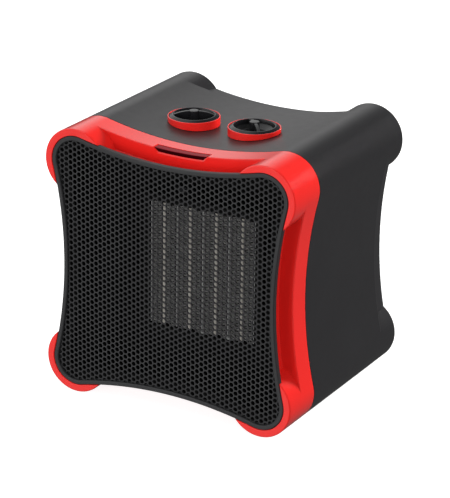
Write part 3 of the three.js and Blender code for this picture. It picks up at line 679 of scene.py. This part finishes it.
def build_casing():
    """A shell with rear lobes, a sloping rear neck, and a well for each knob."""
    joint = CASING_LOW.y
    step = REAR - REAR_STEP
    neck = REAR_INSET + WALL
    shell = swept("casing_shell", [
        (0, joint, JOINT_EDGE), (0, step, 1.7 * MM), (REAR_INSET - NECK_RISE, step, 1.6 * MM),
        (REAR_INSET, REAR, 2.2 * MM), (neck, REAR, 0), (neck, step - WALL, 0),
        (WALL, step - WALL, 0), (WALL, joint, 0),
    ])
    lobe = [(0, step - 2.2 * MM, 0), (0, REAR, 1.4 * MM), (LOBE_CORE, REAR, 0)]
    join(shell, *lobe_columns(lobe))
    cut(shell, plug("inside", [
        (neck, step - WALL, 0), (neck, REAR, 0.6 * MM), (neck - LEDGE, REAR, 0),
        (neck - LEDGE, REAR + OVERLAP, 0),
    ]))
    for word in ("left", "right"):
        x, y, top = knob_axis(word)
        cup = turned("cup", [(COLLAR_OUTER, WELL_FLOOR - WALL, 0), (COLLAR_OUTER, top, 0)], (x, y, 0))
        trim(cup, plug("top", [(0.1 * MM, joint, 0), (0.1 * MM, step, 0)]))
        join(shell, cup)
        cut(
            shell,
            turned("well", [(COLLAR_INNER, WELL_FLOOR, 0), (COLLAR_INNER, top, 0)], (x, y, 0)),
            turned("bush", [(BUSH_HOLE, WELL_FLOOR - 2 * WALL, 0), (BUSH_HOLE, top, 0)], (x, y, 0)),
        )
    for name in FEET:
        low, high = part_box(name)
        section = foot_outline(low, high, GAP)
        levels = (low.z - OVERLAP, high.z + GAP)
        cut(shell, loft("pocket", [[(x, y, z) for x, y in section] for z in levels]))
    finish_piece(shell, CASING, "housing", "black_casing", "main_casing")


def build_feet():
    """Rubber pads with three grooves across their soles."""
    for name in FEET:
        low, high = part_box(name)
        middle = (low + high) / 2
        section = foot_outline(low, high)
        rings = [[(x, y, z) for x, y in section] for z in (low.z, high.z)]
        pad = loft(f"{name}_pad", rings)
        soften(pad, 0.25 * MM)
        for shift in FOOT_GROOVES:
            y = middle.y + shift
            cut(pad, slab("groove", (low.x - OVERLAP, y - GROOVE_HALF, low.z - OVERLAP),
                          (high.x + OVERLAP, y + GROOVE_HALF, low.z + GROOVE_DEPTH)))
        finish_piece(pad, RUBBER, "housing", "black_rubber", name)


# ---- Knobs and collars ----
RIB_ANGLES = {"left": 29.0, "right": -47.6}
RIB_HALF = 1.4 * MM
RIB_TOP_HALF = RIB_HALF * 0.92
RIB_REACH = 15.6 * MM         # knob's axis to each end of its rib
RIB_START = 3.6 * MM          # knob's axis to where the crest begins to fall
RIB_END_HEIGHT = 0.75 * MM
RIB_FOOT = -5 * MM
RIB_FALL = 1.7                # above 1, the crest bulges upwards
RIB_STATIONS = 29
BORE_RADIUS = 3.3 * MM
KNOB_AXIS = 0.5 * MM          # radius of the profile's ends, closed by flat caps


def build_collar(word):
    """A red ring round a knob, whose lower edge follows the casing's curved top."""
    x, y, top = knob_axis(word)
    collar = turned(f"collar_{word}", [
        (COLLAR_INNER, WELL_FLOOR, 0), (COLLAR_OUTER, WELL_FLOOR, 0),
        (COLLAR_OUTER, top, 0.4 * MM), (COLLAR_INNER, top, 0.4 * MM),
    ], (x, y, 0), closed=True, steps=96)
    cut(collar, plug("top", [(-GAP, CASING_LOW.y, 0), (-GAP, REAR - REAR_STEP, 0)]))
    finish_piece(collar, RED, "housing", "red_plastic", f"knob_collar_{word}")


def rib_top(x, hub_top):
    """Height of the finger rib's crest above the collar, at x from the knob's axis."""
    share = max(0.0, min(1.0, (abs(x) - RIB_START) / (RIB_REACH - RIB_START)))
    return (hub_top - 0.35 * MM) * (1 - share ** RIB_FALL) + RIB_END_HEIGHT * share ** RIB_FALL


def build_knob(word, body):
    """A dished knob with a hub and a rib across it, which a finger and thumb turn."""
    x, y, top = knob_axis(word)
    low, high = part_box(f"knob_{word}")
    hub_top = high.z - top
    radius = (high.x - low.x) / 2
    # From the underside out to the rim, down the dish and up the hub.
    dish = turned(f"knob_{word}_grip", [
        (KNOB_AXIS, low.z - top, 0), (radius, low.z - top, 0.3 * MM), (radius, -0.3 * MM, 0.4 * MM),
        (radius - 2.2 * MM, 1.05 * MM, 1 * MM), (radius - 3 * MM, 1.2 * MM, 0.4 * MM),
        (radius - 3.4 * MM, 0.6 * MM, 0.3 * MM), (14.2 * MM, -2.3 * MM, 2 * MM),
        (10 * MM, -4.8 * MM, 4.5 * MM), (4.6 * MM, -4.8 * MM, 2.2 * MM), (3.9 * MM, -0.5 * MM, 0),
        (3.75 * MM, hub_top, 0.45 * MM), (KNOB_AXIS, hub_top, 0),
    ], (0, 0, 0), steps=96, arc_steps=6)
    rings = []
    for i in range(RIB_STATIONS):
        along = RIB_REACH * (2 * i / (RIB_STATIONS - 1) - 1)
        crest = rib_top(along, hub_top)
        section = rounded([
            (-RIB_HALF, RIB_FOOT, 0), (RIB_HALF, RIB_FOOT, 0),
            (RIB_TOP_HALF, crest, 0.45 * MM), (-RIB_TOP_HALF, crest, 0.45 * MM),
        ], 4)
        rings.append([(along, across, height) for across, height in section])
    join(dish, loft("rib", rings))
    bore = [(BORE_RADIUS, -8 * MM, 0), (BORE_RADIUS, -1 * MM, 0)]
    cut(dish, turned("bore", bore, (0, 0, 0), steps=32))
    turn = Matrix.Rotation(math.radians(RIB_ANGLES[word]), 4, "Z")
    dish.data.transform(Matrix.Translation((x, y, top)) @ turn)
    finish_piece(dish, GLOSS, body, "gloss_black", f"knob_{word}")


# ---- Rear cover, screws and gland ----
SLOT_PITCH = 8 * MM
SLOT_HALF = 2 * MM
SLOT_END = 1.9 * MM           # rounding of the slots' ends
SLOT_RIB = 2 * MM             # half of the upright rib between the two columns of slots
INTAKE_RADIUS = 60 * MM
GLAND_NECK = 6.2 * MM
GLAND_BORE = 3.8 * MM
GLAND_FLANGE = 9.5 * MM
GLAND_HOLE = 6.6 * MM
SCREW_HOLE = 2.2 * MM
SCREW_SHANK = 1.5 * MM
SCREW_HEAD = 3.6 * MM
SCREW_AXIS = 0.2 * MM         # radius of the profile's ends, closed by flat caps
CROSS_LONG = 1.9 * MM
CROSS_WIDE = 0.35 * MM
CORE_LOW, CORE_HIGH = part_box("element_frame")
CORE_Z = (CORE_LOW.z + CORE_HIGH.z) / 2


def slot_tools(y0, y1):
    """Round-ended slots across a round intake, in one mesh."""
    rows = int(INTAKE_RADIUS / SLOT_PITCH)
    tools = []
    for row in range(-rows, rows + 1):
        reach = math.sqrt(INTAKE_RADIUS ** 2 - (row * SLOT_PITCH) ** 2)
        z = CORE_Z + row * SLOT_PITCH
        for side in (-1, 1):
            near, far = side * SLOT_RIB, side * reach
            left, right = min(near, far), max(near, far)
            section = rounded([
                (left, z - SLOT_HALF, SLOT_END), (right, z - SLOT_HALF, SLOT_END),
                (right, z + SLOT_HALF, SLOT_END), (left, z + SLOT_HALF, SLOT_END),
            ], 6)
            tools.append(prism("slot", section, y0, y1))
    return merged(tools)


def build_rear_cover():
    """A plate with a round slotted intake and holes for the gland and the screws."""
    low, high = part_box("rear_cover")
    inset = SIZE / 2 - high.x
    cover = plug("rear_grille", [(inset, low.y, 0), (inset, high.y, 0)])
    span = (low.y - OVERLAP, high.y + OVERLAP)
    cut(cover, slot_tools(*span))
    gland_low, gland_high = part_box("cord_gland")
    gland = (gland_low + gland_high) / 2
    cut(cover, disk(GLAND_HOLE, *span, x=gland.x, z=gland.z))
    for number in range(1, 5):
        screw_low, screw_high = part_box(f"rear_screw_{number}")
        at = (screw_low + screw_high) / 2
        cut(cover, disk(SCREW_HOLE, *span, x=at.x, z=at.z, steps=24))
    soften(cover, 0.45 * MM)
    finish_piece(cover, CASING, "housing", "black_casing", "rear_cover")


def build_screw(name):
    """A pan-head screw with a cross recess."""
    low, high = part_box(name)
    x, z = (low.x + high.x) / 2, (low.z + high.z) / 2
    head = high.y - 2.2 * MM
    screw = turned(f"{name}_fastener", [
        (SCREW_AXIS, low.y, 0), (SCREW_SHANK, low.y, 0.5 * MM), (SCREW_SHANK, head, 0),
        (SCREW_HEAD, head, 0), (SCREW_HEAD, high.y - 1.1 * MM, 0.4 * MM),
        (2.2 * MM, high.y, 1.4 * MM), (SCREW_AXIS, high.y, 0),
    ], (x, 0, z), axis="Y", steps=40)
    for across, up in ((CROSS_LONG, CROSS_WIDE), (CROSS_WIDE, CROSS_LONG)):
        cut(screw, slab("recess", (x - across, high.y - 1 * MM, z - up),
                        (x + across, high.y + OVERLAP, z + up)))
    finish_piece(screw, STEEL, "housing", "zinc", name)


def build_gland():
    """A flanged rubber bush with a stepped nose round the cord's hole."""
    low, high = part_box("cord_gland")
    x, z = (low.x + high.x) / 2, (low.z + high.z) / 2
    flange = high.y - 3 * MM
    flange_back = flange + 1.8 * MM
    bush = turned("cord_grommet", [
        (GLAND_BORE, low.y, 0.4 * MM), (GLAND_NECK, low.y, 0.6 * MM), (GLAND_NECK, flange, 0),
        (GLAND_FLANGE, flange, 0.4 * MM), (GLAND_FLANGE, flange_back, 0.8 * MM),
        (6.6 * MM, flange_back, 0.5 * MM), (GLAND_NECK, high.y, 0.7 * MM),
        (GLAND_BORE, high.y, 0.5 * MM),
    ], (x, 0, z), axis="Y", closed=True)
    finish_piece(bush, RUBBER, "housing", "black_rubber", "cord_gland")


# ---- Heating core ----
FIN_WAVES = 48
FIN_STEPS = 12                # points to each wave
FIN_SHEET = 0.3 * MM
FIN_FLATNESS = 2.4            # higher values bring the folds nearer to a zigzag with flat ends
STONES = 4                    # to each ceramic bar
STONE_GAP = 0.25 * MM
TERMINALS = (3, 4)            # the electrode plates that have one
FRAME_MARGIN = 0.4 * MM


def build_fin(number):
    """A column of thin sheet folded to and fro between two plates."""
    low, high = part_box(f"fin_{number}")
    centre, half = (low.x + high.x) / 2, (high.x - low.x) / 2 - FIN_SHEET
    height = high.z - low.z - 2 * FIN_SHEET
    count = FIN_WAVES * FIN_STEPS
    line = []
    for i in range(count + 1):
        swing = math.tanh(FIN_FLATNESS * math.sin(2 * math.pi * i / FIN_STEPS)) / math.tanh(FIN_FLATNESS)
        line.append(Vector((centre + half * swing, low.z + FIN_SHEET + height * i / count)))
    sides = ([], [])
    for i, point in enumerate(line):
        along = (line[min(i + 1, count)] - line[max(i - 1, 0)]).normalized()
        across = Vector((-along.y, along.x)) * (FIN_SHEET / 2)
        sides[0].append(point + across)
        sides[1].append(point - across)
    section = [*sides[0], *reversed(sides[1])]
    rows = [[(p.x, y, p.y) for p in section] for y in (low.y, high.y)]
    fin = strip(f"fin_sheet_{number}", rows, len(sides[0]))
    finish_piece(fin, FIN, "housing", "aluminium", f"fin_{number}", angle=60)


def strip(name, rows, half_count):
    """A solid sheet between two equal closed lines, whose end faces are strips of quads."""
    count = len(rows[0])
    faces = []
    for i in range(count):
        j = (i + 1) % count
        faces.append((i, j, count + j, count + i))
    for i in range(half_count - 1):
        a, b = i, count - 1 - i
        faces.append((a, b, b - 1, a + 1))
        faces.append((count + a, count + a + 1, count + b - 1, count + b))
    return make(name, [*rows[0], *rows[1]], faces)


def build_bar(number):
    """A row of ceramic stones, one above the other."""
    low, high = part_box(f"ptc_bar_{number}")
    pitch = (high.z - low.z) / STONES
    tiles = []
    for i in range(STONES):
        z = low.z + i * pitch
        tiles.append(slab("stone", (low.x, low.y, z), (high.x, high.y, z + pitch - STONE_GAP)))
    bar = merged(tiles, f"ceramic_bar_{number}")
    soften(bar, 0.3 * MM)
    finish_piece(bar, CERAMIC, "housing", "ceramic", f"ptc_bar_{number}")


def build_plate(number):
    """A thin electrode plate, and on some of them a terminal below the core."""
    low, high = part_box(f"electrode_plate_{number}")
    plate = slab(f"electrode_{number}", low, high)
    if number in TERMINALS:
        middle = (low.x + high.x) / 2
        tab = slab("tab", (middle - 0.4 * MM, low.y - 1 * MM, low.z - 3.5 * MM),
                   (middle + 5.5 * MM, low.y + 5 * MM, low.z + 1.2 * MM))
        join(plate, tab)
    soften(plate, 0.15 * MM)
    finish_piece(plate, ALUMINIUM, "housing", "aluminium", f"electrode_plate_{number}")


def build_element_frame():
    """A frame that holds the plates, fins and ceramic bars together."""
    low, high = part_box("element_frame")
    core_low, core_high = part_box("electrode_plate_1")[0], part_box("electrode_plate_5")[1]
    holder = slab("core_holder", low, high)
    cut(holder, slab(
        "opening",
        (core_low.x - FRAME_MARGIN, low.y - OVERLAP, core_low.z - FRAME_MARGIN),
        (core_high.x + FRAME_MARGIN, high.y + OVERLAP, core_high.z + FRAME_MARGIN),
    ))
    soften(holder, 0.8 * MM)
    finish_piece(holder, PHENOLIC, "housing", "phenolic", "element_frame")


# ---- Fan ----
BLADES = 7
HUB_RADIUS = 17 * MM
FAN_BORE = 2.8 * MM
FAN_BOSS = 5 * MM
FAN_FLOOR = 7 * MM            # hub's front to the floor of its hollow
TIP_GAP = 0.4 * MM
BLADE_SINK = 1 * MM           # how far a blade's root reaches into the hub
BLADE_HALF_THICK = 0.95 * MM
BLADE_CAMBER = 0.09           # share of the blade's chord
BLADE_STATIONS = 15
BLADE_POINTS = 9              # along each side of a blade's section
TIP_SHARE = 0.2               # the outer part of a blade, where its chord shrinks


def blade_section(chord):
    """A cambered section with round ends, from its leading edge round to its start again."""
    upper, lower = [], []
    for k in range(BLADE_POINTS):
        s = k / (BLADE_POINTS - 1) - 0.5
        camber = BLADE_CAMBER * chord * (1 - 4 * s * s)
        thick = BLADE_HALF_THICK * math.sqrt(max(0.02, 1 - (2 * s) ** 4))
        upper.append((s * chord, camber + thick))
        lower.append((s * chord, camber - thick))
    return [*upper, *reversed(lower)]


def build_blade(number, centre, tip, depth):
    """One blade of the fan, which widens and flattens out towards its tip."""
    root = HUB_RADIUS - BLADE_SINK
    rings = []
    for i in range(BLADE_STATIONS):
        share = i / (BLADE_STATIONS - 1)
        radius = root + (tip - root) * share
        pitch = math.radians(48 - 22 * share)
        chord = (15 + 15 * share) * MM * (1 - 0.25 * max(0, share - 1 + TIP_SHARE) / TIP_SHARE)
        ring = []
        for s, h in blade_section(chord):
            turn = s * math.cos(pitch) - h * math.sin(pitch)
            along = max(-depth, min(depth, s * math.sin(pitch) + h * math.cos(pitch)))
            angle = 2 * math.pi * number / BLADES + turn / radius
            ring.append((
                centre.x + radius * math.cos(angle), centre.y + along,
                centre.z + radius * math.sin(angle),
            ))
        rings.append(ring)
    return loft("blade", rings)


def build_impeller():
    """A hollow hub with seven cambered blades that twist towards their tips."""
    low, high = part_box("fan_impeller")
    centre = (low + high) / 2
    floor = low.y + FAN_FLOOR
    hub = turned("fan_wheel", [
        (FAN_BORE, low.y, 0.3 * MM), (9 * MM, low.y, 3 * MM), (HUB_RADIUS, low.y + 3 * MM, 4 * MM),
        (HUB_RADIUS, high.y, 0.6 * MM), (15 * MM, high.y, 0.5 * MM), (15 * MM, floor, 2 * MM),
        (FAN_BOSS, floor, 1 * MM), (FAN_BOSS, high.y, 0.5 * MM), (FAN_BORE, high.y, 0.3 * MM),
    ], (centre.x, 0, centre.z), axis="Y", closed=True)
    tip = (high.x - low.x) / 2 - TIP_GAP
    depth = (high.y - low.y) / 2 - GAP
    join(hub, *(build_blade(number, centre, tip, depth) for number in range(BLADES)))
    finish_piece(hub, BLADE, "fan", "fan_plastic", "fan_impeller", angle=40)


# ---- CAD nodes that stay, with their materials ----
KEPT = (
    (LAMP, ("indicator_lamp",)),
    (PHENOLIC, ("lamp_holder", "selector_switch", "thermostat", "bulkhead", "fan_shroud")),
    (STEEL, (
        "selector_nut", "thermostat_nut", "selector_shaft", "thermostat_shaft", "motor_bracket",
        "bearing_plate_front", "bearing_plate_rear", "motor_stator", "motor_shaft", "motor_rotor",
    )),
    (DULL_STEEL, ("thermal_cutout", "thermal_fuse")),
    (COPPER, ("motor_coil",)),
    (SLEEVE, ("supply_lead",)),
)


def dress_cad_nodes():
    """Gives each CAD node that stays its material."""
    for material, names in KEPT:
        for name in names:
            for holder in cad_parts[name].material_slots:
                holder.material = material


# ---- Studio ----
SKY_DIM = 0.13
SKY_BRIGHT = 1.15
BRIGHT_SIDE = (-0.95, -0.05, 0.25)  # towards the broad soft window, to the left
BRIGHT_EDGE = (0.13, 0.56)
HORIZON = (0, 0, 1)
HORIZON_EDGE = (0.0, 0.3)
GLOW = 0.5
GLOW_SIDE = (-0.45, -0.82, -0.35)   # towards the pale floor in front of the object
GLOW_EDGE = (0.55, 0.95)
FLOOR_REACH = 6
FLOOR_EMISSION = 0.9
AIM = Vector((0, 0, 0.1))
LIGHTS = (                          # name, place, width, and power in watts
    ("overhead", (-0.2, 0.3, 2.2), 1.4, 8),
    ("rear_right", (0.8, 2.1, 0.65), 0.9, 140),
    ("front_high", (-0.6, -2.1, 0.45), 1.0, 22),
    ("front_right", (1.5, -1.8, 0.55), 1.0, 14),
    ("right_high", (1.9, -0.8, 1.1), 0.9, 20),
    ("front_low", (-1.2, -1.9, -1.0), 1.2, 12),
)


def add_sky():
    """A dim room with a broad soft window above the horizon, and a glow from the floor."""
    world = bpy.data.worlds.new("studio")
    world.use_nodes = True
    nodes = world.node_tree.nodes
    links = world.node_tree.links
    place = nodes.new("ShaderNodeTexCoord")

    def soft_share(axis, edge):
        """0 where a direction's part along the axis is below the edge's start, 1 above its end."""
        along = nodes.new("ShaderNodeVectorMath")
        along.operation = "DOT_PRODUCT"
        along.inputs[1].default_value = axis
        links.new(place.outputs["Generated"], along.inputs[0])
        share = nodes.new("ShaderNodeMapRange")
        share.interpolation_type = "SMOOTHSTEP"
        share.inputs["From Min"].default_value = edge[0]
        share.inputs["From Max"].default_value = edge[1]
        links.new(along.outputs["Value"], share.inputs["Value"])
        return share.outputs["Result"]

    window = nodes.new("ShaderNodeMath")
    window.operation = "MULTIPLY"
    links.new(soft_share(BRIGHT_SIDE, BRIGHT_EDGE), window.inputs[0])
    links.new(soft_share(HORIZON, HORIZON_EDGE), window.inputs[1])
    strength = nodes.new("ShaderNodeMapRange")
    strength.inputs["To Min"].default_value = SKY_DIM
    strength.inputs["To Max"].default_value = SKY_BRIGHT
    links.new(window.outputs["Value"], strength.inputs["Value"])
    glow = nodes.new("ShaderNodeMath")
    glow.operation = "MULTIPLY_ADD"
    links.new(soft_share(GLOW_SIDE, GLOW_EDGE), glow.inputs[0])
    glow.inputs[1].default_value = GLOW
    links.new(strength.outputs["Result"], glow.inputs[2])
    background = nodes["Background"]
    background.inputs["Color"].default_value = (1, 1, 1, 1)
    links.new(glow.outputs["Value"], background.inputs["Strength"])
    bpy.context.scene.world = world


def add_floor():
    """A pale floor that shines evenly and leaves the object's light alone."""
    floor = slab("floor", (-FLOOR_REACH, -FLOOR_REACH, -20 * MM), (FLOOR_REACH, FLOOR_REACH, 0))
    pale = surface("pale floor", (0.35, 0.35, 0.35), 0.6, grain=2 * MM, depth=0.002, mottle=0.0)
    shader = pale.node_tree.nodes["Principled BSDF"]
    shader.inputs["Emission Color"].default_value = (1, 1, 1, 1)
    shader.inputs["Emission Strength"].default_value = FLOOR_EMISSION
    floor.data.materials.append(pale)
    floor.visible_glossy = False
    floor.visible_diffuse = False
    floor.visible_shadow = False


def add_lights():
    for name, place, size, power in LIGHTS:
        data = bpy.data.lights.new(name, "AREA")
        data.size = size
        data.energy = power
        light = bpy.data.objects.new(name, data)
        light.location = place
        light.visible_glossy = False
        light.rotation_euler = (AIM - Vector(place)).to_track_quat("-Z", "Y").to_euler()
        bpy.context.scene.collection.objects.link(light)


build_bezel()
build_window()
build_grille_frame()
build_honeycomb()
build_duct()
build_casing()
build_feet()
for side in ("left", "right"):
    build_collar(side)
    build_knob(side, f"{side}_knob")
build_rear_cover()
for screw_number in range(1, 5):
    build_screw(f"rear_screw_{screw_number}")
build_gland()
for fin_number in range(1, 9):
    build_fin(fin_number)
for bar_number in range(1, 5):
    build_bar(bar_number)
for plate_number in range(1, 6):
    build_plate(plate_number)
build_element_frame()
build_impeller()
dress_cad_nodes()
add_floor()
add_sky()
add_lights()
bpy.context.scene.view_settings.view_transform = "Standard"
